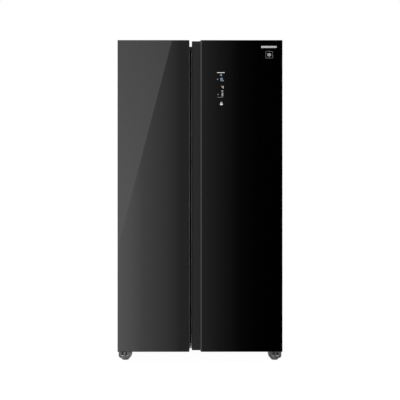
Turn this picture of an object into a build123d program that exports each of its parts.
"""Side by side refrigerator with black glass doors and a full-height grip channel between them.

Millimetres. The doors face -Y, +Z is up, and the origin is the centre of the footprint on the floor.
A plan is a cut seen from above, and a side is -1 for the freezer half (left) or 1 for the fridge half.
"""

import os

from build123d import *

os.makedirs("parts", exist_ok=True)

# Driving dimensions
WIDTH = 910
HEIGHT = 1778
DEPTH = 700
FRONT = -DEPTH / 2
BACK = DEPTH / 2
DOOR_BOTTOM = 58
DOOR_TOP = HEIGHT
DOOR_THICK = 70
SEAL_GAP = 12
CABINET_HALF = 453
CABINET_BOTTOM = 63
CABINET_TOP = 1757
SHEET = 0.8
HINGE_X = 441
HINGE_Y = -315

# Door outlines, across the width
FREEZER_DOOR = (-WIDTH / 2, -58.7)
FRIDGE_DOOR = (-45.6, WIDTH / 2)
LIP_X = 4.4
SKIN = 2
GLASS_THICK = 4
GLASS_BORDER = 0.8
CHANNEL_DEPTH = 32
STRIP_LIFT = 3

# Where the main layers of the carcass lie
DOOR_BACK = FRONT + DOOR_THICK
CABINET_FRONT = DOOR_BACK + SEAL_GAP
CABINET_BACK = BACK - 10
GLASS_BACK = FRONT + GLASS_THICK
STRIP_Y = FRONT + CHANNEL_DEPTH
FLANGE_X = CABINET_HALF - 28
FLANGE_Z = 17

# Compartments: width, floor, ceiling, back wall, and the step over the machine space
FREEZER = (-407.5, -88)
FRIDGE = (-16, 410)
FLOOR = CABINET_BOTTOM + 48
CEILING = CABINET_TOP - 47
LINER_BACK = 290
LINER = 2.5
STEP_Y = 105
STEP_Z = FLOOR + 220
DUCT_Y = 215
MULLION = (FREEZER[1], FRIDGE[0])
TRIM = (-76, -28)

# Shelves, drawers and bins
SHELF_Z = (528, 765, 1000, 1235, 1470)
DIVIDER_Z = 318
SHELF_GLASS = 4
SHELF_FRONT = -125
FRIDGE_SHELF_BACK = 258
FREEZER_SHELF_BACK = 208
SIDE_PLAY = 5
DRAWER_FRONT = -130
DRAWER_WALL = 2.5
LOW_DRAWER = (FLOOR + 1, 310)
HIGH_DRAWER = (STEP_Z + 2, 520)
BIN_WALL = 2.5
LOW_BIN = (200, 110)
BIN_LEVELS = (560, 840, 1120, 1400)
BIN_HEIGHT = 90
LOW_BIN_Y = -216
FRIDGE_BIN_Y = -150
FREEZER_BIN_Y = -165

# Ice maker: tray axes, their height, depth span, and the width and depth of a tray
ICE_X = (-311, -185)
ICE_AXIS_Z = 1634
ICE_Y = (-110, 150)
ICE_TRAY = (96, 34)

# Touch board behind the fridge door's glass
CONTROL_X = (84, 148)
CONTROL_Z = (1395, 1622)

# Cold-air fan behind the freezer duct panel, as depth and height
COLD_FAN = (246, 1352)

# Raised ring round the inside of each door, which the bins hang in
RING = 30
RING_BACK = DOOR_BACK + 30
RING_PLAY = 12
RING_X = {-1: (-398.5, -97), 1: (-7, 401)}

# Hinges, feet and rollers
PIN_R = 6
RUNNING = 0.05
PLATE = 4
HINGE_ARM = 10.5
COVER_ARM = 13.2
NOTCH_IN = 30
NOTCH_FRONT = 28
NOTCH_DROP = 4
BUSH_R = 13
TOP_BUSH = 25
LOW_BUSH = 32
LOW_PLATE_TOP = 53
FOOT_X = 419
FOOT_Y = -262
STEM_R = 5
ROLLER_X = 417
FRONT_ROLLER = (-156, 20, 3)
REAR_ROLLER = (290, 22, 0)
ROLLER_WIDTH = 18
AXLE_R = 4

# Machine space
MACHINE_FRONT = 142
MACHINE_TOP = 285
COMPRESSOR = (270, 240)
FAN_Y = 240
FAN_Z = 168
GLAND = (-400, CABINET_BACK, 110)
HAIR = 0.2

SIDES = ((-1, "left"), (1, "right"))


def keep(piece, name):
    """Labels a finished piece and writes it as its own STEP file."""
    piece.part.label = name
    export_step(piece.part, f"parts/{name}.step")


def block(x, y, z, mode=Mode.ADD):
    """Adds or cuts a box given by its (low, high) along each axis."""
    with Locations(((x[0] + x[1]) / 2, (y[0] + y[1]) / 2, (z[0] + z[1]) / 2)):
        Box(abs(x[1] - x[0]), y[1] - y[0], z[1] - z[0], mode=mode)


def mirrored(side, low, high):
    """The span low..high on the right half, or its mirror image on the left half, lowest first."""
    return (low, high) if side > 0 else (-high, -low)


# ---------------------------------------------------------------- cabinet shell


def side_panel(side, name):
    """Folded steel side with a front flange for the door seal and a narrow rear flange."""
    with BuildPart() as panel:
        block(mirrored(side, CABINET_HALF - SHEET, CABINET_HALF), (CABINET_FRONT, CABINET_BACK),
              (CABINET_BOTTOM, CABINET_TOP))
        block(mirrored(side, FLANGE_X, CABINET_HALF), (CABINET_FRONT, CABINET_FRONT + SHEET),
              (CABINET_BOTTOM, CABINET_TOP))
        block(mirrored(side, CABINET_HALF - 15, CABINET_HALF), (CABINET_BACK - SHEET, CABINET_BACK),
              (CABINET_BOTTOM, CABINET_TOP))
    keep(panel, name)


def top_panel():
    """Flat steel top with its front flange folded down between the side flanges."""
    inside = CABINET_HALF - SHEET
    with BuildPart() as panel:
        block((-inside, inside), (CABINET_FRONT + SHEET, CABINET_BACK - SHEET),
              (CABINET_TOP - SHEET, CABINET_TOP))
        block((-FLANGE_X, FLANGE_X), (CABINET_FRONT, CABINET_FRONT + SHEET),
              (CEILING + FLANGE_Z, CABINET_TOP))
    keep(panel, "top_panel")


def back_panel():
    """Rear sheet above the machine space, stiffened by pressed vertical beads."""
    inside = CABINET_HALF - SHEET
    bead_pitch, beads = 150, 5
    with BuildPart() as panel:
        block((-inside, inside), (CABINET_BACK - 2 * SHEET, CABINET_BACK - SHEET),
              (MACHINE_TOP, CABINET_TOP - SHEET))
        with BuildSketch(Plane.XZ.offset(-(CABINET_BACK - SHEET))):
            with GridLocations(bead_pitch, 0, beads, 1):
                with Locations((0, 930)):
                    SlotOverall(1080, 26, rotation=90)
        extrude(amount=-2.4, taper=25)
    keep(panel, "back_panel")


def base_pan():
    """Bottom sheet with its front rail, which the lower hinges and the rollers bolt to."""
    inside = CABINET_HALF - SHEET
    sheet = 1.2
    with BuildPart() as pan:
        block((-inside, inside), (CABINET_FRONT + SHEET, CABINET_BACK - 2 * SHEET),
              (CABINET_BOTTOM, CABINET_BOTTOM + sheet))
        block((-FLANGE_X, FLANGE_X), (CABINET_FRONT, CABINET_FRONT + SHEET),
              (CABINET_BOTTOM, FLOOR - FLANGE_Z))
        with Locations((*COMPRESSOR, CABINET_BOTTOM + sheet)):
            with GridLocations(190, 120, 2, 2):
                Cylinder(7, 8, align=(Align.CENTER, Align.CENTER, Align.MIN))
    keep(pan, "base_pan")


def cabinet_foam():
    """Foamed insulation, kept as one slab for each wall, a hair apart."""
    top = CABINET_TOP - SHEET - HAIR
    low = CABINET_BOTTOM + 1.2 + HAIR
    front = CABINET_FRONT + LINER + HAIR
    back = CABINET_BACK - 2 * SHEET - HAIR
    outer = CABINET_HALF - SHEET - HAIR
    left, right = FREEZER[0] - LINER, FRIDGE[1] + LINER
    inner = (left + HAIR, right - HAIR)
    with BuildPart() as foam:
        block((-outer, left), (front, back), (low, top))
        block((right, outer), (front, back), (low, top))
        mullion = (MULLION[0] + LINER, MULLION[1] - LINER)
        roof = CEILING + LINER - HAIR
        block(mullion, (front, STEP_Y + LINER), (FLOOR - LINER + HAIR, roof))
        block(mullion, (STEP_Y + LINER + HAIR, LINER_BACK + LINER), (STEP_Z - LINER + HAIR, roof))
        block(inner, (front, back), (CEILING + LINER, top))
        block(inner, (front, STEP_Y + LINER), (low, FLOOR - LINER))
        block(inner, (STEP_Y + LINER + HAIR, MACHINE_FRONT), (low, STEP_Z - LINER))
        block(inner, (MACHINE_FRONT + HAIR, back), (MACHINE_TOP, STEP_Z - LINER))
        block(inner, (LINER_BACK + LINER + HAIR, back), (STEP_Z - LINER + HAIR, roof))
    keep(foam, "cabinet_foam")


def liner(name, span, lip, shelf_back):
    """Moulded inner box with a stepped floor, a lip round its mouth and ledges for the shelves."""
    ledge, ledge_height, corner = 6, 7, 14
    outline = [(CABINET_FRONT, FLOOR), (STEP_Y, FLOOR), (STEP_Y, STEP_Z), (LINER_BACK, STEP_Z),
               (LINER_BACK, CEILING), (CABINET_FRONT, CEILING)]
    x0, x1 = span
    with BuildPart() as cavity:
        with BuildSketch(Plane.YZ.offset(x0)):
            with BuildLine():
                Polyline(*outline, close=True)
            make_face()
        extrude(amount=x1 - x0)
        fillet(cavity.edges().filter_by(Axis.Y), corner)
    with BuildPart() as shell:
        outside = (x0 - LINER, x1 + LINER)
        block(outside, (CABINET_FRONT, STEP_Y + LINER), (FLOOR - LINER, CEILING + LINER))
        block(outside, (STEP_Y, LINER_BACK + LINER), (STEP_Z - LINER, CEILING + LINER))
        block(lip, (CABINET_FRONT, CABINET_FRONT + LINER), (FLOOR - FLANGE_Z, CEILING + FLANGE_Z))
        add(cavity.part, mode=Mode.SUBTRACT)
        for level in (DIVIDER_Z, *SHELF_Z):
            deep = STEP_Y if level == DIVIDER_Z else shelf_back
            for x in ((x0, x0 + ledge), (x1 - ledge, x1)):
                block(x, (SHELF_FRONT, deep), (level - ledge_height, level))
    keep(shell, name)


def mullion_trim():
    """Painted steel strip on the front of the centre wall, where both doors seal."""
    with BuildPart() as trim:
        block(TRIM, (CABINET_FRONT, CABINET_FRONT + LINER), (FLOOR - FLANGE_Z, CEILING + FLANGE_Z))
        fillet(trim.edges().filter_by(Axis.Z).group_by(Axis.Y)[0], 0.8)
    keep(trim, "mullion_trim")


# ---------------------------------------------------------------- hinges and supports


def hinge_plan(arm, base_x, base_y, side):
    """Plan of a hinge plate: a round eye on the pin, an arm and a wider base on the cabinet."""
    Rectangle(base_x[1] - base_x[0], base_y[1] - base_y[0])
    eye = (side * HINGE_X - side * (base_x[0] + base_x[1]) / 2, HINGE_Y - (base_y[0] + base_y[1]) / 2)
    with Locations(eye):
        Circle(arm)
    with Locations((eye[0], eye[1] / 2)):
        Rectangle(2 * arm, abs(eye[1]))


def top_hinges():
    """Steel plates on the cabinet top, each with a pin that points down into its door."""
    base_x, base_y, pin_reach, head = (380, 450), (-262, -180), 24, 3
    with BuildPart() as hinges:
        for side in (-1, 1):
            centre = (side * (base_x[0] + base_x[1]) / 2, (base_y[0] + base_y[1]) / 2)
            with BuildSketch(Plane(origin=(*centre, CABINET_TOP))):
                hinge_plan(HINGE_ARM, base_x, base_y, side)
                with GridLocations(44, 50, 2, 2):
                    Circle(3.2, mode=Mode.SUBTRACT)
            extrude(amount=PLATE)
            with Locations((side * HINGE_X, HINGE_Y, CABINET_TOP - pin_reach)):
                Cylinder(PIN_R, pin_reach + PLATE, align=(Align.CENTER, Align.CENTER, Align.MIN))
            with Locations((side * HINGE_X, HINGE_Y, CABINET_TOP + PLATE)):
                Cylinder(8, head, align=(Align.CENTER, Align.CENTER, Align.MIN))
    keep(hinges, "top_hinges")


def hinge_covers():
    """Moulded caps over the top hinges, open underneath."""
    base_x, base_y, wall, rise, play = (374, 452), (-264, -172), 1.8, 19, 0.3
    centre_y = (base_y[0] + base_y[1]) / 2
    with BuildPart() as covers:
        for side in (-1, 1):
            centre = (side * (base_x[0] + base_x[1]) / 2, centre_y)
            with BuildSketch(Plane(origin=(*centre, CABINET_TOP + play))):
                hinge_plan(COVER_ARM, base_x, base_y, side)
            extrude(amount=rise - play)
            with BuildSketch(Plane(origin=(*centre, CABINET_TOP + play))):
                hinge_plan(COVER_ARM, base_x, base_y, side)
                offset(amount=-wall, mode=Mode.REPLACE)
            extrude(amount=rise - play - wall, mode=Mode.SUBTRACT)
        chamfer(covers.faces().group_by(Axis.Z)[-1].edges(), 1.5)
    keep(covers, "hinge_covers")


def cup_outline(x, half_top, half_low, top, shoulder, low):
    """Outline of a cup seen from the front: straight sides down to its shoulder, then a taper."""
    return [(x - half_top, top), (x + half_top, top), (x + half_top, shoulder), (x + half_low, low),
            (x - half_low, low), (x - half_top, shoulder)]


def lower_hinges():
    """Steel brackets under the front corners: door pin, pressed cup round the foot and a bolting tab."""
    cup_half_top, cup_half_low, shoulder, cup_low, wall = 35, 27, 24, 14.5, 2.5
    cup_y = (-300, -226)
    tab_y = (-238, -190)
    pin_top, collar, collar_r = 82, 4.6, 10
    windows = ((8, 9), (-13, 11))
    window_z, window_height = 36, 20
    with BuildPart() as hinges:
        for side in (-1, 1):
            foot_x = side * FOOT_X
            with BuildSketch(Plane.XZ.offset(-cup_y[1])):
                with BuildLine():
                    Polyline(*cup_outline(foot_x, cup_half_top, cup_half_low, LOW_PLATE_TOP, shoulder,
                                          cup_low), close=True)
                make_face()
            extrude(amount=cup_y[1] - cup_y[0])
            with BuildSketch(Plane.XZ.offset(-cup_y[1] + wall)):
                with BuildLine():
                    Polyline(*cup_outline(foot_x, cup_half_top - wall, cup_half_low - wall,
                                          LOW_PLATE_TOP - PLATE, shoulder, cup_low - 1), close=True)
                make_face()
            extrude(amount=cup_y[1] - cup_y[0] - 2 * wall, mode=Mode.SUBTRACT)
            with Locations((side * HINGE_X, HINGE_Y, LOW_PLATE_TOP - PLATE)):
                Cylinder(HINGE_ARM, PLATE, align=(Align.CENTER, Align.CENTER, Align.MIN))
                Cylinder(PIN_R, pin_top - LOW_PLATE_TOP + PLATE,
                         align=(Align.CENTER, Align.CENTER, Align.MIN))
                Cylinder(collar_r, PLATE + collar, align=(Align.CENTER, Align.CENTER, Align.MIN))
            block(mirrored(side, HINGE_X - 36, HINGE_X + HINGE_ARM - 2.5), (HINGE_Y, cup_y[0] + 2),
                  (LOW_PLATE_TOP - PLATE, LOW_PLATE_TOP))
            tab_x = (foot_x - 30, foot_x + 30)
            block(tab_x, (tab_y[0], tab_y[0] + wall), (LOW_PLATE_TOP - PLATE, CABINET_BOTTOM))
            block(tab_x, tab_y, (CABINET_BOTTOM - wall, CABINET_BOTTOM))
            with Locations((foot_x, FOOT_Y, LOW_PLATE_TOP)):
                Hole(STEM_R + RUNNING, depth=PLATE)
            for inward, width in windows:
                centre_x = foot_x - side * inward
                block((centre_x - width / 2, centre_x + width / 2), (cup_y[0] - 1, cup_y[0] + wall + 1),
                      (window_z - window_height / 2, window_z + window_height / 2), mode=Mode.SUBTRACT)
    keep(hinges, "lower_hinges")


def hinge_bolts():
    """Hexagon bolts that hold both pairs of hinges."""
    head, across, shank = 4, 5.5, 8
    with BuildPart() as bolts:
        for side in (-1, 1):
            with BuildSketch(Plane(origin=(side * 415, -221, CABINET_TOP + PLATE))):
                with GridLocations(44, 50, 2, 2):
                    RegularPolygon(across, 6)
            extrude(amount=head)
            with BuildSketch(Plane(origin=(side * 415, -221, CABINET_TOP))):
                with GridLocations(44, 50, 2, 2):
                    Circle(3)
            extrude(amount=PLATE)
            with BuildSketch(Plane(origin=(side * FOOT_X, -208, CABINET_BOTTOM - 2.5 - head))):
                with GridLocations(36, 0, 2, 1):
                    RegularPolygon(across, 6)
            extrude(amount=head)
    keep(bolts, "hinge_bolts")


def levelling_foot(side, name):
    """Screw foot: a ribbed tapered knob that stands on the floor, on a steel stem."""
    rim, sole, knob = 23, 17, 13
    with BuildPart() as foot:
        with BuildSketch(Plane.XZ):
            with BuildLine():
                Polyline((0, 0), (sole, 0), (rim, 7), (rim, knob - 2), (rim - 3, knob), (0, knob),
                         close=True)
            make_face()
        revolve(axis=Axis.Z)
        with PolarLocations(rim + 1.5, 12):
            Cylinder(3, 2 * knob, mode=Mode.SUBTRACT)
        with Locations((0, 0, knob)):
            Cylinder(STEM_R, LOW_PLATE_TOP + 6 - knob, align=(Align.CENTER, Align.CENTER, Align.MIN))
            with Locations((0, 0, 0)):
                Cylinder(9, 5, align=(Align.CENTER, Align.CENTER, Align.MIN))
    placed = foot.part.moved(Location((side * FOOT_X, FOOT_Y, 0)))
    placed.label = name
    export_step(placed, f"parts/{name}.step")


def roller(side, place, name):
    """Grooved nylon wheel that turns on its axle."""
    y, radius, lift = place
    with BuildPart() as wheel:
        with BuildSketch(Plane.XY):
            with BuildLine():
                Polyline((AXLE_R + RUNNING, -ROLLER_WIDTH / 2), (radius - 1.5, -ROLLER_WIDTH / 2),
                         (radius, -ROLLER_WIDTH / 2 + 1.5), (radius, ROLLER_WIDTH / 2 - 1.5),
                         (radius - 1.5, ROLLER_WIDTH / 2), (AXLE_R + RUNNING, ROLLER_WIDTH / 2),
                         close=True)
            make_face()
            for face_y in (-ROLLER_WIDTH / 2, ROLLER_WIDTH / 2):
                with Locations(((radius + AXLE_R) / 2, face_y)):
                    Rectangle(radius - AXLE_R - 8, 5, mode=Mode.SUBTRACT)
        revolve(axis=Axis.Y)
    turned = wheel.part.moved(Location((side * ROLLER_X, y, radius + lift), (0, 0, 90)))
    turned.label = name
    export_step(turned, f"parts/{name}.step")


def roller_brackets():
    """Folded steel forks under the base pan, one for each roller."""
    cheek, play = 2, 1
    half = ROLLER_WIDTH / 2 + play
    with BuildPart() as forks:
        for side in (-1, 1):
            for y, radius, lift in (FRONT_ROLLER, REAR_ROLLER):
                x = side * ROLLER_X
                block((x - half - cheek, x + half + cheek), (y - 26, y + 26),
                      (CABINET_BOTTOM - cheek, CABINET_BOTTOM))
                for low in (x - half - cheek, x + half):
                    block((low, low + cheek), (y - 14, y + 14), (radius + lift - 8, CABINET_BOTTOM))
                with Locations(Plane(origin=(x, y, radius + lift), z_dir=(1, 0, 0))):
                    Cylinder(AXLE_R + RUNNING, 2 * half + 3 * cheek, mode=Mode.SUBTRACT)
    keep(forks, "roller_brackets")


def roller_axles():
    """Headed steel pins through the forks."""
    reach = ROLLER_WIDTH / 2 + 3
    with BuildPart() as axles:
        for side in (-1, 1):
            for y, radius, lift in (FRONT_ROLLER, REAR_ROLLER):
                with Locations(Plane(origin=(side * ROLLER_X, y, radius + lift), z_dir=(1, 0, 0))):
                    Cylinder(AXLE_R, 2 * reach + 4)
                    with Locations((0, 0, reach + 1), (0, 0, -reach - 1)):
                        Cylinder(AXLE_R + 2.5, 2)
    keep(axles, "roller_axles")


# ---------------------------------------------------------------- machine space


def compressor():
    """Welded compressor pot on its foot plate, with a terminal cover and stub pipes."""
    x, y = COMPRESSOR
    plate_z, pot_r, pot_height = 82, 72, 150
    with BuildPart() as pot:
        with Locations((x, y, plate_z + 2)):
            Cylinder(pot_r, pot_height, align=(Align.CENTER, Align.CENTER, Align.MIN))
        fillet(pot.edges().filter_by(GeomType.CIRCLE), 38)
        with Locations((x, y, plate_z + 2 + pot_height / 2)):
            Cylinder(pot_r + 2, 6)
        with BuildSketch(Plane(origin=(x, y, plate_z))):
            RectangleRounded(222, 150, 16)
            with GridLocations(190, 120, 2, 2):
                Circle(8.3, mode=Mode.SUBTRACT)
        extrude(amount=4)
        block((x - pot_r - 26, x - pot_r + 12), (y - 26, y + 26), (plate_z + 40, plate_z + 92))
    keep(pot, "compressor")


def compressor_mounts():
    """Rubber grommets that carry the compressor plate."""
    base = CABINET_BOTTOM + 1.2
    with BuildPart() as mounts:
        with Locations((*COMPRESSOR, base)):
            with GridLocations(190, 120, 2, 2):
                Cylinder(13, 82 - base, align=(Align.CENTER, Align.CENTER, Align.MIN))
                Cylinder(8.2, 90 - base, align=(Align.CENTER, Align.CENTER, Align.MIN))
                Cylinder(7.1, 200, mode=Mode.SUBTRACT)
    keep(mounts, "compressor_mounts")


def condenser():
    """Finned tube block in the machine space."""
    fin_x, fin_pitch, fins, tube_r = -330, 13, 16, 4
    span = (fins - 1) * fin_pitch
    with BuildPart() as coil:
        for index in range(fins):
            low = fin_x + index * fin_pitch
            block((low, low + 1.2), (170, 312), (84, 244))
        for row_y in (195, 240, 287):
            for row_z in (104, 144, 184, 224):
                with Locations(Plane(origin=(fin_x + span / 2, row_y, row_z), z_dir=(1, 0, 0))):
                    Cylinder(tube_r, span + 20)
    keep(coil, "condenser")


def drain_tray():
    """Evaporation tray under the condenser."""
    x, y, floor, top, rim, wall = (-350, -112), (156, 326), CABINET_BOTTOM + 1.4, 81, 6, 2
    with BuildPart() as tray:
        block(x, y, (floor, top))
        fillet(tray.edges().filter_by(Axis.Z), 12)
        block((x[0] + rim, x[1] - rim), (y[0] + rim, y[1] - rim), (floor + wall, top + 2),
              mode=Mode.SUBTRACT)
    keep(tray, "drain_tray")


def fan_blades(radius, hub_r, width, blades):
    """A bored hub with flat pitched blades about the local Z axis."""
    Cylinder(hub_r, width)
    with PolarLocations((radius + hub_r) / 2 - 1, blades):
        with Locations(Rotation(35, 0, 0)):
            Box(radius - hub_r + 2, 0.75 * width + hub_r * 0.7, 2)
    Cylinder(3 + RUNNING, 3 * width, mode=Mode.SUBTRACT)


def condenser_fan():
    """Rotor that draws air through the condenser, turning about X."""
    with BuildPart() as rotor:
        fan_blades(68, 20, 20, 5)
    turned = rotor.part.moved(Location((-58, FAN_Y, FAN_Z), (0, 90, 0)))
    turned.label = "condenser_fan"
    export_step(turned, "parts/condenser_fan.step")


def fan_frame():
    """Plastic ring plate with the condenser fan's motor and shaft."""
    plane = Plane(origin=(-92, FAN_Y, FAN_Z), x_dir=(0, 1, 0), z_dir=(1, 0, 0))
    with BuildPart() as frame:
        with BuildSketch(plane):
            RectangleRounded(184, 196, 10)
            Circle(76, mode=Mode.SUBTRACT)
            with PolarLocations(0, 4, start_angle=45):
                with Locations((46, 0)):
                    Rectangle(72, 9)
            Circle(22)
        extrude(amount=5)
        with BuildSketch(plane):
            Circle(22)
        extrude(amount=20)
        with BuildSketch(plane):
            Circle(3)
        extrude(amount=50)
        with BuildSketch(plane):
            RectangleRounded(184, 196, 10)
            Circle(76, mode=Mode.SUBTRACT)
            offset(amount=-4, mode=Mode.SUBTRACT)
        extrude(amount=22)
    keep(frame, "fan_frame")


def refrigerant_pipes():
    """Copper discharge and suction lines, and the filter drier on the condenser outlet."""
    x, y = COMPRESSOR
    high, drier_x, pipe_r, bend = 272, -112, 3, 14
    runs = (
        [(x - 40, y + 20, 233.6), (x - 40, y + 20, high), (x - 200, y + 20, high),
         (drier_x, y - 60, high), (drier_x, y - 60, 215)],
        [(x + 30, y - 20, 234.2), (x + 30, y - 20, high), (x + 30, 168, high), (330, 168, 110)],
    )
    with BuildPart() as pipes:
        for points in runs:
            with BuildLine() as path:
                FilletPolyline(*points, radius=bend)
            with BuildSketch(Plane(origin=path.line @ 0, z_dir=path.line % 0)):
                Circle(pipe_r)
            sweep(path=path.line)
        with Locations((drier_x, y - 60, 165)):
            Cylinder(9, 100)
    keep(pipes, "refrigerant_pipes")


def machine_cover():
    """Louvred rear cover with two wall spacers and a hole for the mains lead."""
    half, spacer_x = 446, 400
    grilles = ((-260, 180), (0, 180), (260, 180))
    with BuildPart() as cover:
        block((-half, half), (CABINET_BACK + HAIR, CABINET_BACK + 2),
              (CABINET_BOTTOM + 3, MACHINE_TOP + 15))
        fillet(cover.edges().filter_by(Axis.Y), 8)
        with BuildSketch(Plane.XZ.offset(-(CABINET_BACK + 2))):
            with Locations(*grilles):
                RectangleRounded(210, 150, 10)
        extrude(amount=-3, taper=30)
        with BuildSketch(Plane.XZ.offset(-CABINET_BACK)):
            with Locations(*grilles):
                with GridLocations(16, 62, 11, 2):
                    SlotOverall(50, 6, rotation=90)
        extrude(amount=-8, mode=Mode.SUBTRACT)
        for x in (-spacer_x, spacer_x):
            block((x - 9, x + 9), (CABINET_BACK + 1, BACK), (230, 262))
        with Locations(Plane(origin=GLAND, z_dir=(0, 1, 0))):
            Cylinder(9, 20, mode=Mode.SUBTRACT)
    keep(cover, "machine_cover")


def mains_gland():
    """Rubber bush in the machine cover where the mains lead comes out."""
    with BuildPart() as bush:
        with BuildSketch(Plane.XZ):
            with BuildLine():
                Polyline((4, -1.8), (12, -1.8), (12, 0), (8.8, 0), (8.8, 2.2), (12, 2.2), (10, 8), (4, 8),
                         close=True)
            make_face()
        revolve(axis=Axis.Z)
    turned = bush.part.moved(Location(GLAND, (-90, 0, 0)))
    turned.label = "mains_gland"
    export_step(turned, "parts/mains_gland.step")


def control_box():
    """Ribbed plastic housing of the main board, on the back panel."""
    with BuildPart() as box:
        with BuildSketch(Plane.XZ.offset(-(CABINET_BACK - SHEET))):
            with Locations((0, 1600)):
                RectangleRounded(270, 150, 8)
        extrude(amount=-9)
        fillet(box.faces().sort_by(Axis.Y)[-1].edges(), 2.5)
        with BuildSketch(Plane.XZ.offset(-(CABINET_BACK + 8.2))):
            with Locations((0, 1600)):
                with GridLocations(14, 0, 13, 1):
                    SlotOverall(96, 5, rotation=90)
        extrude(amount=2, mode=Mode.SUBTRACT)
    keep(box, "control_box")


# ---------------------------------------------------------------- cold side


def evaporator():
    """Finned aluminium coil behind the freezer duct panel."""
    fins, pitch, low_x, tube_r, passes = 24, 11, -374, 4, 9
    span = (fins - 1) * pitch
    with BuildPart() as coil:
        for index in range(fins):
            x = low_x + index * pitch
            block((x, x + 0.8), (232, 280), (720, 1110))
        for index in range(passes):
            with Locations(Plane(origin=(low_x + span / 2, 256, 745 + 42.5 * index), z_dir=(1, 0, 0))):
                Cylinder(tube_r, span + 22)
    keep(coil, "evaporator")


def freezer_duct_panel():
    """Rear wall of the freezer with cold-air louvres, a return grille and the fan's motor and shaft."""
    centre = (FREEZER[0] + FREEZER[1]) / 2
    fan_z = COLD_FAN[1]
    with BuildPart() as panel:
        block((FREEZER[0] + 0.5, FREEZER[1] - 0.5), (DUCT_Y, DUCT_Y + 3), (STEP_Z + 1, CEILING - 1))
        fillet(panel.edges().filter_by(Axis.Y), 15)
        with BuildSketch(Plane.XZ.offset(-DUCT_Y)):
            with Locations((centre, 1020)):
                RectangleRounded(214, 1060, 26)
        extrude(amount=3, taper=20)
        with BuildSketch(Plane.XZ.offset(-DUCT_Y + 6)):
            for level in (620, 860, 1095, fan_z, 1470):
                with Locations((centre, level)):
                    with GridLocations(0, 16, 1, 4):
                        SlotOverall(150, 7)
        extrude(amount=-12, mode=Mode.SUBTRACT)
        with BuildSketch(Plane.XZ.offset(-DUCT_Y)):
            with Locations((centre, 400)):
                with GridLocations(14, 0, 18, 1):
                    SlotOverall(70, 6, rotation=90)
        extrude(amount=-6, mode=Mode.SUBTRACT)
        with BuildSketch(Plane.XZ.offset(-DUCT_Y - 3)):
            with Locations((centre, fan_z)):
                Circle(24)
        extrude(amount=-14)
        with BuildSketch(Plane.XZ.offset(-DUCT_Y - 3)):
            with Locations((centre, fan_z)):
                Circle(3)
        extrude(amount=-44)
    keep(panel, "freezer_duct_panel")


def evaporator_fan():
    """Rotor that blows cold air through the louvres, turning about Y."""
    with BuildPart() as rotor:
        fan_blades(58, 18, 18, 5)
    turned = rotor.part.moved(Location(((FREEZER[0] + FREEZER[1]) / 2, *COLD_FAN), (90, 0, 0)))
    turned.label = "evaporator_fan"
    export_step(turned, "parts/evaporator_fan.step")


def fridge_duct_panel():
    """Raised air column on the fridge back wall with outlets at every shelf."""
    centre = (FRIDGE[0] + FRIDGE[1]) / 2
    face_y = LINER_BACK - 28
    with BuildPart() as column:
        with BuildSketch(Plane.XZ.offset(-LINER_BACK)):
            with Locations((centre, 1080)):
                RectangleRounded(190, 1040, 30)
        extrude(amount=LINER_BACK - face_y, taper=12)
        fillet(column.faces().sort_by(Axis.Y)[0].edges(), 6)
        with BuildSketch(Plane.XZ.offset(-face_y - 6)):
            with Locations((centre, 1080)):
                RectangleRounded(160, 1010, 20)
        extrude(amount=-40, mode=Mode.SUBTRACT)
        with BuildSketch(Plane.XZ.offset(-face_y + 1)):
            for level in (650, 885, 1120, 1355, 1540):
                for offset_x in (-44, 44):
                    with Locations((centre + offset_x, level)):
                        with GridLocations(0, 14, 1, 4):
                            SlotOverall(42, 6)
        extrude(amount=-12, mode=Mode.SUBTRACT)
    keep(column, "fridge_duct_panel")


def shelf_spans():
    """Every glass shelf as (x span, y span, underside height)."""
    spans = []
    for span, back in ((FREEZER, FREEZER_SHELF_BACK), (FRIDGE, FRIDGE_SHELF_BACK)):
        x = (span[0] + 2, span[1] - 2)
        spans.append((x, (SHELF_FRONT, STEP_Y - 2), DIVIDER_Z))
        spans.extend((x, (SHELF_FRONT, back), level) for level in SHELF_Z)
    return spans


def glass_shelves():
    """Toughened glass shelves resting on the liner ledges."""
    with BuildPart() as shelves:
        for x, y, z in shelf_spans():
            block(x, y, (z, z + SHELF_GLASS))
    keep(shelves, "glass_shelves")


def shelf_trims():
    """Moulded channels on the front and rear edge of each shelf."""
    grip, lip = 10, 5
    with BuildPart() as trims:
        for x, y, z in shelf_spans():
            block((x[0] + 6, x[1] - 6), (y[0] - lip, y[0] + grip), (z - 5, z + 9))
            if z != DIVIDER_Z:
                block((x[0] + 6, x[1] - 6), (y[1] - grip, y[1] + 3), (z - 3, z + 20))
        fillet(trims.edges().filter_by(Axis.X), 1.5)
        for x, y, z in shelf_spans():
            block(x, y, (z, z + SHELF_GLASS), mode=Mode.SUBTRACT)
    keep(trims, "shelf_trims")


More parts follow.
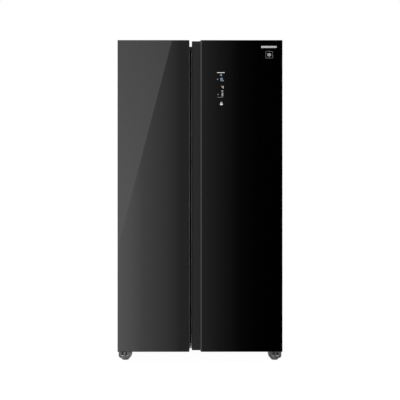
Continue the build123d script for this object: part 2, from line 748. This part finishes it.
def drawer(name, span, y_back, z, front_y=DRAWER_FRONT):
    """Open-topped drawer with a thicker front panel and a finger scoop under its rim."""
    x = (span[0] + SIDE_PLAY, span[1] - SIDE_PLAY)
    front, wall = 8, DRAWER_WALL
    centre = (x[0] + x[1]) / 2
    with BuildPart() as box:
        block((x[0] + 8, x[1] - 8), (front_y + front, y_back), (z[0], z[1] - 14))
        fillet(box.edges().filter_by(Axis.Z), 10)
        fillet(box.faces().sort_by(Axis.Z)[0].edges(), 5)
        block((x[0] + 8 + wall, x[1] - 8 - wall), (front_y + front + wall, y_back - wall),
              (z[0] + wall, z[1]), mode=Mode.SUBTRACT)
        block((x[0] + 2, x[0] + 8 + wall), (front_y + front, y_back - 12), (z[1] - 18, z[1] - 14))
        block((x[1] - 8 - wall, x[1] - 2), (front_y + front, y_back - 12), (z[1] - 18, z[1] - 14))
    with BuildPart() as panel:
        block(x, (front_y, front_y + front + wall), (z[0] + 4, z[1]))
        fillet(panel.edges().group_by(Axis.Y)[0], 3)
        with BuildSketch(Plane.XY.offset(z[1] + 1)):
            with Locations((centre, front_y)):
                SlotOverall(150, 13)
        extrude(amount=-16, mode=Mode.SUBTRACT)
    with BuildPart() as whole:
        add(box.part)
        add(panel.part)
    keep(whole, name)


def led_lamps():
    """Light bars in the ceiling of each compartment."""
    with BuildPart() as lamps:
        for span in (FREEZER, FRIDGE):
            centre = (span[0] + span[1]) / 2
            block((centre - 80, centre + 80), (-90, -66), (CEILING - 7, CEILING))
        fillet(lamps.faces().sort_by(Axis.Z)[0:2].edges(), 3)
    keep(lamps, "led_lamps")


def ice_maker_frame():
    """Twist ice maker housing: two end walls and side rails that carry both trays."""
    x, z, wall = (-376, -120), (1560, 1690), 3
    with BuildPart() as frame:
        block(x, ICE_Y, z)
        block((x[0] + wall, x[1] - wall), (ICE_Y[0] + wall, ICE_Y[1] - wall), (z[0] - 1, z[1] + 1),
              mode=Mode.SUBTRACT)
        block((x[0] - 1, x[1] + 1), (ICE_Y[0] + 30, ICE_Y[1] - 30), (z[0] + 24, z[1] - 24),
              mode=Mode.SUBTRACT)
        for centre in ICE_X:
            with Locations(Plane(origin=(centre, 0, ICE_AXIS_Z), z_dir=(0, 1, 0))):
                Cylinder(6 + RUNNING, 600, mode=Mode.SUBTRACT)
        block(x, (ICE_Y[1] - wall, ICE_Y[1]), (SHELF_Z[-1] + SHELF_GLASS, z[0] + 2))
        block((x[0], x[0] + wall), ICE_Y, (SHELF_Z[-1] + SHELF_GLASS, z[0] + 2))
        block((x[1] - wall, x[1]), ICE_Y, (SHELF_Z[-1] + SHELF_GLASS, z[0] + 2))
    keep(frame, "ice_maker_frame")


def ice_tray(centre, name):
    """Flexible tray of ice cells on journals, with a lever at the front."""
    width, deep = ICE_TRAY
    y = (ICE_Y[0] + 6, ICE_Y[1] - 6)
    top = ICE_AXIS_Z + 9
    with BuildPart() as tray:
        block((centre - width / 2, centre + width / 2), y, (top - deep, top))
        fillet(tray.edges().group_by(Axis.Z)[0], 5)
        with BuildSketch(Plane(origin=(centre, (y[0] + y[1]) / 2, top))):
            with GridLocations(45, 40, 2, 6):
                RectangleRounded(38, 34, 5)
        extrude(amount=-deep + 6, taper=9, mode=Mode.SUBTRACT)
        with Locations(Plane(origin=(centre, (ICE_Y[0] + ICE_Y[1]) / 2, ICE_AXIS_Z), z_dir=(0, 1, 0))):
            for low in (-1, 1):
                with Locations((0, 0, low * ((ICE_Y[1] - ICE_Y[0]) / 2 - 2))):
                    Cylinder(6, 10)
        with BuildSketch(Plane.XZ.offset(-ICE_Y[0] + 2)):
            with Locations((centre, ICE_AXIS_Z)):
                Circle(15)
            with Locations((centre, ICE_AXIS_Z - 18)):
                RectangleRounded(16, 44, 6)
        extrude(amount=7)
    keep(tray, name)


def ice_bin():
    """Clear tub for the finished cubes, standing on the top freezer shelf."""
    z = SHELF_Z[-1] + SHELF_GLASS
    x, y, wall = (-370, -126), (ICE_Y[0] - 4, ICE_Y[1] - 6), 2.5
    with BuildPart() as tub:
        block(x, y, (z + 0.5, z + 80))
        fillet(tub.edges().filter_by(Axis.Z), 10)
        block((x[0] + wall, x[1] - wall), (y[0] + wall, y[1] - wall), (z + 0.5 + wall, z + 90),
              mode=Mode.SUBTRACT)
    keep(tub, "ice_bin")


# ---------------------------------------------------------------- doors


def freezer_plan(inset):
    """Plan of the freezer door: a block with an undercut finger groove behind its free edge."""
    x0, x1 = FREEZER_DOOR[0] + inset, FREEZER_DOOR[1] - inset
    groove, mouth = x1 - 19, x1 - 15 - inset * 0.2
    return [(x0, FRONT + inset), (x1, FRONT + inset), (x1, FRONT + 10 - inset),
            (mouth, FRONT + 14 - inset), (groove, FRONT + 20 - inset), (groove, FRONT + 42 + inset),
            (mouth, FRONT + 50 + inset), (x1, FRONT + 52 + inset), (x1, DOOR_BACK), (x0, DOOR_BACK)]


def fridge_plan(inset):
    """Plan of the fridge door: a block whose free side is cut back to the grip channel."""
    x0, x1 = FRIDGE_DOOR[0] + inset, FRIDGE_DOOR[1] - inset
    return [(LIP_X + inset, FRONT + inset), (x1, FRONT + inset), (x1, DOOR_BACK), (x0, DOOR_BACK),
            (x0, STRIP_Y + inset), (12 + inset, STRIP_Y + inset), (12 + inset, FRONT + 14)]


def door_shell(side, name, plan):
    """Door frame: a hollow shell, open at the back, with a hinge notch and two hinge bushes."""
    x = side * HINGE_X
    notch_x = mirrored(side, HINGE_X - NOTCH_IN, WIDTH / 2 + 1)
    wall_x = mirrored(side, HINGE_X - NOTCH_IN - SKIN, WIDTH / 2)
    notch_floor = CABINET_TOP - NOTCH_DROP
    glass_x = glass_span(side)
    with BuildPart() as shell:
        with BuildSketch(Plane.XY.offset(DOOR_BOTTOM)):
            with BuildLine():
                Polyline(*plan(0), close=True)
            make_face()
        extrude(amount=DOOR_TOP - DOOR_BOTTOM)
        with BuildSketch(Plane.XY.offset(DOOR_BOTTOM + SKIN)):
            with BuildLine():
                Polyline(*plan(SKIN), close=True)
            make_face()
        extrude(amount=DOOR_TOP - DOOR_BOTTOM - 2 * SKIN, mode=Mode.SUBTRACT)
        block(wall_x, (FRONT, DOOR_BACK), (DOOR_BOTTOM, DOOR_BOTTOM + SKIN))
        block((glass_x[0] - GLASS_BORDER * (side < 0), glass_x[1] + GLASS_BORDER * (side > 0)),
              (FRONT, GLASS_BACK + SKIN), (DOOR_BOTTOM, DOOR_TOP))
        block(wall_x, (GLASS_BACK + SKIN, DOOR_BACK), (notch_floor - SKIN, DOOR_TOP))
        block(notch_x, (HINGE_Y - NOTCH_FRONT, DOOR_BACK + 1), (notch_floor, DOOR_TOP + 1),
              mode=Mode.SUBTRACT)
        with Locations((x, HINGE_Y, notch_floor - TOP_BUSH)):
            Cylinder(BUSH_R, TOP_BUSH, align=(Align.CENTER, Align.CENTER, Align.MIN))
        with Locations((x, HINGE_Y, DOOR_BOTTOM)):
            Cylinder(BUSH_R, LOW_BUSH, align=(Align.CENTER, Align.CENTER, Align.MIN))
        with Locations((x, HINGE_Y, notch_floor)):
            Cylinder(PIN_R + RUNNING, 2 * (TOP_BUSH - 3), mode=Mode.SUBTRACT)
        with Locations((x, HINGE_Y, DOOR_BOTTOM)):
            Cylinder(PIN_R + RUNNING, 2 * (LOW_BUSH - 3), mode=Mode.SUBTRACT)
        block(glass_x, (FRONT - 1, GLASS_BACK), (DOOR_BOTTOM + GLASS_BORDER, DOOR_TOP - GLASS_BORDER),
              mode=Mode.SUBTRACT)
        if side > 0:
            block((FRIDGE_DOOR[0] - 1, 12 + SKIN), (FRONT - 1, DOOR_BACK + 1),
                  (DOOR_BOTTOM + STRIP_LIFT + SKIN, DOOR_TOP - SKIN), mode=Mode.SUBTRACT)
            block((FRIDGE_DOOR[0] - 1, 0), (FRONT - 1, DOOR_BACK + 1),
                  (DOOR_BOTTOM - 1, DOOR_BOTTOM + STRIP_LIFT), mode=Mode.SUBTRACT)
            block((FRIDGE_DOOR[0], 0.5), (STRIP_Y, DOOR_BACK),
                  (DOOR_BOTTOM + STRIP_LIFT, DOOR_BOTTOM + STRIP_LIFT + SKIN))
            block(CONTROL_X, (FRONT - 1, GLASS_BACK + SKIN + 1), CONTROL_Z, mode=Mode.SUBTRACT)
    keep(shell, name)


def glass_span(side):
    """Width span of a door's glass, inside its border."""
    if side < 0:
        return (FREEZER_DOOR[0] + GLASS_BORDER, FREEZER_DOOR[1] - 3)
    return (10.2, FRIDGE_DOOR[1] - GLASS_BORDER)


def door_glass(side, name):
    """Toughened front panel, painted on its back, with a bevelled edge."""
    with BuildPart() as pane:
        block(glass_span(side), (FRONT, GLASS_BACK),
              (DOOR_BOTTOM + GLASS_BORDER, DOOR_TOP - GLASS_BORDER))
        chamfer(pane.faces().sort_by(Axis.Y)[0].edges(), 1.2)
    keep(pane, name)


def fridge_door_grip():
    """Extruded profile of the grip channel: front lip, finger undercut, strip and free side."""
    wall, corner = 2.5, 3
    outer = [(10, FRONT), (LIP_X, FRONT), (0, FRONT + 11), (6.5, FRONT + 17), (6.5, FRONT + 27),
             (1.5, STRIP_Y)]
    inner = [(FRIDGE_DOOR[0] + wall, STRIP_Y + wall), (4, STRIP_Y + wall), (9.5, FRONT + 28),
             (9.5, FRONT + 15.5), (3.8, FRONT + 10.2), (6.2, FRONT + 4), (10, FRONT + 4)]
    with BuildPart() as profile:
        with BuildSketch(Plane.XY.offset(DOOR_BOTTOM + STRIP_LIFT + SKIN)):
            with BuildLine():
                Polyline(*outer, (FRIDGE_DOOR[0] + corner, STRIP_Y), (FRIDGE_DOOR[0], STRIP_Y + corner),
                         (FRIDGE_DOOR[0], DOOR_BACK), (FRIDGE_DOOR[0] + wall, DOOR_BACK), *inner,
                         close=True)
            make_face()
        extrude(amount=DOOR_TOP - DOOR_BOTTOM - STRIP_LIFT - 2 * SKIN)
    keep(profile, "fridge_door_grip")


def control_panel():
    """Thin touch board behind the glass, with its indicator lamps."""
    with BuildPart() as board:
        block((CONTROL_X[0] + 1, CONTROL_X[1] - 1), (GLASS_BACK + 0.2, GLASS_BACK + SKIN - 0.2),
              (CONTROL_Z[0] + 1, CONTROL_Z[1] - 1))
    keep(board, "control_panel")


def door_liner(side, name, door):
    """Formed inner skin: a flat sheet with a raised ring and lugs that the bins hang on."""
    x0, x1 = RING_X[side]
    low, high = FLOOR + RING_PLAY, CEILING - RING_PLAY
    centre = ((x0 + x1) / 2, (low + high) / 2)
    plane = Plane.XZ.offset(-(DOOR_BACK - SKIN))
    lug, lug_height = 9, 16
    with BuildPart() as sheet:
        edge = 2.6
        block((door[0] + edge, door[1] - edge), (DOOR_BACK - SKIN, DOOR_BACK),
              (DOOR_BOTTOM + STRIP_LIFT + SKIN + 0.1, DOOR_TOP - SKIN - 0.1))
        with BuildSketch(plane) as ring:
            with Locations(centre):
                RectangleRounded(x1 - x0, high - low, 26)
                RectangleRounded(x1 - x0 - 2 * RING, high - low - 2 * RING, 12, mode=Mode.SUBTRACT)
        extrude(amount=-(RING_BACK - DOOR_BACK + SKIN))
        fillet(sheet.faces().sort_by(Axis.Y)[-1].edges(), 5)
        with BuildSketch(plane):
            with Locations(centre):
                RectangleRounded(x1 - x0 - 2 * SKIN, high - low - 2 * SKIN, 24)
                RectangleRounded(x1 - x0 - 2 * RING + 2 * SKIN, high - low - 2 * RING + 2 * SKIN, 14,
                                 mode=Mode.SUBTRACT)
        extrude(amount=-(RING_BACK - DOOR_BACK), mode=Mode.SUBTRACT)
        for bottom, _ in bin_levels():
            for wall in ((x0 + RING, x0 + RING + lug), (x1 - RING - lug, x1 - RING)):
                block(wall, (DOOR_BACK, RING_BACK - 6), (bottom - lug_height, bottom - 0.3))
        notch_x = mirrored(side, HINGE_X - NOTCH_IN - SKIN, WIDTH / 2 + 1)
        block(notch_x, (DOOR_BACK - 5, DOOR_BACK + 1), (CABINET_TOP - NOTCH_DROP - SKIN, DOOR_TOP),
              mode=Mode.SUBTRACT)
    keep(sheet, name)


def door_foam(side, name, span):
    """Foam filling of a door and of the raised ring, kept as plain slabs a hair apart."""
    front, back = GLASS_BACK + SKIN + HAIR, DOOR_BACK - SKIN - HAIR
    low, high = DOOR_BOTTOM + STRIP_LIFT + SKIN + HAIR, DOOR_TOP - SKIN - HAIR
    clear_low, clear_high = DOOR_BOTTOM + LOW_BUSH + 1, CABINET_TOP - TOP_BUSH - 6
    free, hinge = span
    bar = SKIN + HAIR
    x0, x1 = RING_X[side]
    ring_low, ring_high = FLOOR + RING_PLAY, CEILING - RING_PLAY
    hinge_inner = side * (HINGE_X - NOTCH_IN - SKIN - 1)
    ring_y = (back + HAIR, RING_BACK - bar)
    with BuildPart() as foam:
        block(sorted((free, hinge)), (front, back), (clear_low, clear_high))
        block(sorted((free, hinge_inner)), (front, back), (clear_high + HAIR, high))
        block(sorted((free, hinge_inner)), (front, back), (low, clear_low - HAIR))
        if side > 0:
            block((FRIDGE_DOOR[0] + 3, free - HAIR), (STRIP_Y + 3, back), (low, high))
        else:
            block((free + HAIR, FREEZER_DOOR[1] - SKIN - HAIR), (FRONT + 54 + SKIN, back), (low, high))
        for x in ((x0 + bar, x0 + RING - bar), (x1 - RING + bar, x1 - bar)):
            block(x, ring_y, (ring_low + 26, ring_high - 26))
        for z in ((ring_low + bar, ring_low + RING - bar), (ring_high - RING + bar, ring_high - bar)):
            block((x0 + RING, x1 - RING), ring_y, z)
    keep(foam, name)


def door_gasket(name, x):
    """Magnetic seal ring with a hollow-looking stepped section."""
    z = (CABINET_BOTTOM + 8, CABINET_TOP - 10)
    centre = ((x[0] + x[1]) / 2, (z[0] + z[1]) / 2)
    width, height = x[1] - x[0], z[1] - z[0]
    with BuildPart() as seal:
        for depth, inset, band in ((5, 4, 14), (SEAL_GAP - 0.3, 0, 9)):
            with BuildSketch(Plane.XZ.offset(-DOOR_BACK)):
                with Locations(centre):
                    RectangleRounded(width - 2 * inset, height - 2 * inset, 6)
                    Rectangle(width - 2 * (inset + band), height - 2 * (inset + band),
                              mode=Mode.SUBTRACT)
            extrude(amount=-depth)
        with BuildSketch(Plane.XZ.offset(-(DOOR_BACK + 6))):
            with Locations(centre):
                RectangleRounded(width, height, 6)
                Rectangle(width - 2 * 21, height - 2 * 21, mode=Mode.SUBTRACT)
        extrude(amount=-(SEAL_GAP - 6.3))
    keep(seal, name)


def bin_levels():
    """Every door bin as (bottom height, wall height), the shallow one first."""
    return [LOW_BIN] + [(level, BIN_HEIGHT) for level in BIN_LEVELS]


def door_bins(side, name, inner_y):
    """Clear bins between the sides of the raised ring, with a thicker rim."""
    x0, x1 = RING_X[side]
    x = (x0 + RING + 1, x1 - RING - 1)
    with BuildPart() as bins:
        for bottom, height in bin_levels():
            y = (DOOR_BACK + 1, LOW_BIN_Y if (bottom, height) == LOW_BIN else inner_y)
            corner = 16 if (bottom, height) == LOW_BIN else 28
            centre = ((x[0] + x[1]) / 2, (y[0] + y[1]) / 2)
            for grow, low, high, mode in (
                (0, 0, height, Mode.ADD),
                (-BIN_WALL, BIN_WALL, height + 1, Mode.SUBTRACT),
            ):
                with BuildSketch(Plane.XY.offset(bottom + low)) as outline:
                    with Locations(centre):
                        Rectangle(x[1] - x[0], y[1] - y[0])
                    fillet(outline.vertices().group_by(Axis.Y)[-1], corner)
                    fillet(outline.vertices().group_by(Axis.Y)[0], 4)
                    if grow:
                        offset(amount=grow, mode=Mode.REPLACE)
                extrude(amount=high - low, mode=mode)
    keep(bins, name)


def build():
    """Makes every piece."""
    for side, word in SIDES:
        side_panel(side, f"side_panel_{word}")
        levelling_foot(side, f"levelling_foot_{word}")
        roller(side, FRONT_ROLLER, f"front_roller_{word}")
        roller(side, REAR_ROLLER, f"rear_roller_{word}")
    top_panel()
    back_panel()
    base_pan()
    cabinet_foam()
    liner("freezer_liner", FREEZER, (-FLANGE_X, TRIM[0]), FREEZER_SHELF_BACK)
    liner("fridge_liner", FRIDGE, (TRIM[1], FLANGE_X), FRIDGE_SHELF_BACK)
    mullion_trim()
    top_hinges()
    hinge_covers()
    lower_hinges()
    hinge_bolts()
    roller_brackets()
    roller_axles()
    compressor()
    compressor_mounts()
    condenser()
    drain_tray()
    fan_frame()
    condenser_fan()
    refrigerant_pipes()
    machine_cover()
    mains_gland()
    control_box()
    evaporator()
    freezer_duct_panel()
    evaporator_fan()
    fridge_duct_panel()
    glass_shelves()
    shelf_trims()
    drawer("freezer_drawer_lower", FREEZER, 98, LOW_DRAWER)
    drawer("freezer_drawer_upper", FREEZER, 200, HIGH_DRAWER)
    drawer("crisper_drawer_lower", FRIDGE, 98, LOW_DRAWER)
    drawer("crisper_drawer_upper", FRIDGE, 250, HIGH_DRAWER)
    led_lamps()
    ice_maker_frame()
    ice_tray(ICE_X[0], "ice_tray_left")
    ice_tray(ICE_X[1], "ice_tray_right")
    ice_bin()
    door_shell(-1, "freezer_door_shell", freezer_plan)
    door_shell(1, "fridge_door_shell", fridge_plan)
    door_glass(-1, "freezer_door_glass")
    door_glass(1, "fridge_door_glass")
    fridge_door_grip()
    control_panel()
    door_liner(-1, "freezer_door_liner", FREEZER_DOOR)
    door_liner(1, "fridge_door_liner", FRIDGE_DOOR)
    door_foam(-1, "freezer_door_foam", (FREEZER_DOOR[1] - 24, FREEZER_DOOR[0] + SKIN + HAIR))
    door_foam(1, "fridge_door_foam", (16, FRIDGE_DOOR[1] - SKIN - HAIR))
    door_gasket("freezer_door_gasket", (-444, -62))
    door_gasket("fridge_door_gasket", (-43, 444))
    door_bins(-1, "freezer_door_bins", FREEZER_BIN_Y)
    door_bins(1, "fridge_door_bins", FRIDGE_BIN_Y)


build()
